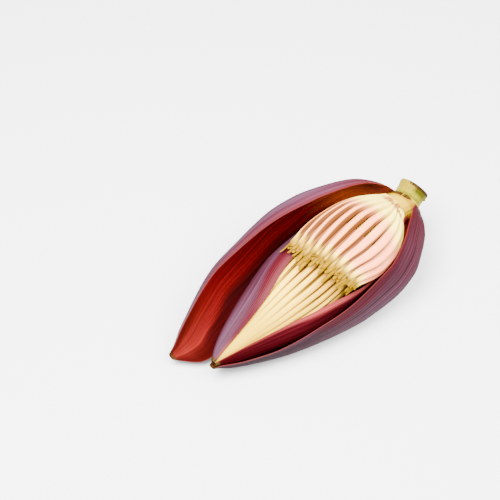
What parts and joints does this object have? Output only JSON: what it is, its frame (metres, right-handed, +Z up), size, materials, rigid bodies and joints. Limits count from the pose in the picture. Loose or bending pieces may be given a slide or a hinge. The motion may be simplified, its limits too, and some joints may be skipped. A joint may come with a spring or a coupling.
{
  "type": "banana blossom",
  "caption": "Opened banana blossom lying on its side: a pleated cream heart and a fan of florets inside curled mauve bracts, on a short cut stem.",
  "frame": {"origin": "middle of the bounding box's base, on the surface the blossom lies on", "axes": "+X along the bud from its tip to the cut stem, +Y toward the bract that has folded open, +Z up"},
  "size_m": [0.2464, 0.1189, 0.0831],
  "materials": {
    "stem": "satin",
    "heart": "satin",
    "floret": "satin",
    "bract": "satin"
  },
  "bodies": {
    "root": {"stem": "stem", "heart": "heart", "floret_hand": "floret", "bract_inner_left": "bract", "bract_inner_right": "bract", "bract_outer": "bract", "bract_open": "bract"}
  },
  "joints": []
}
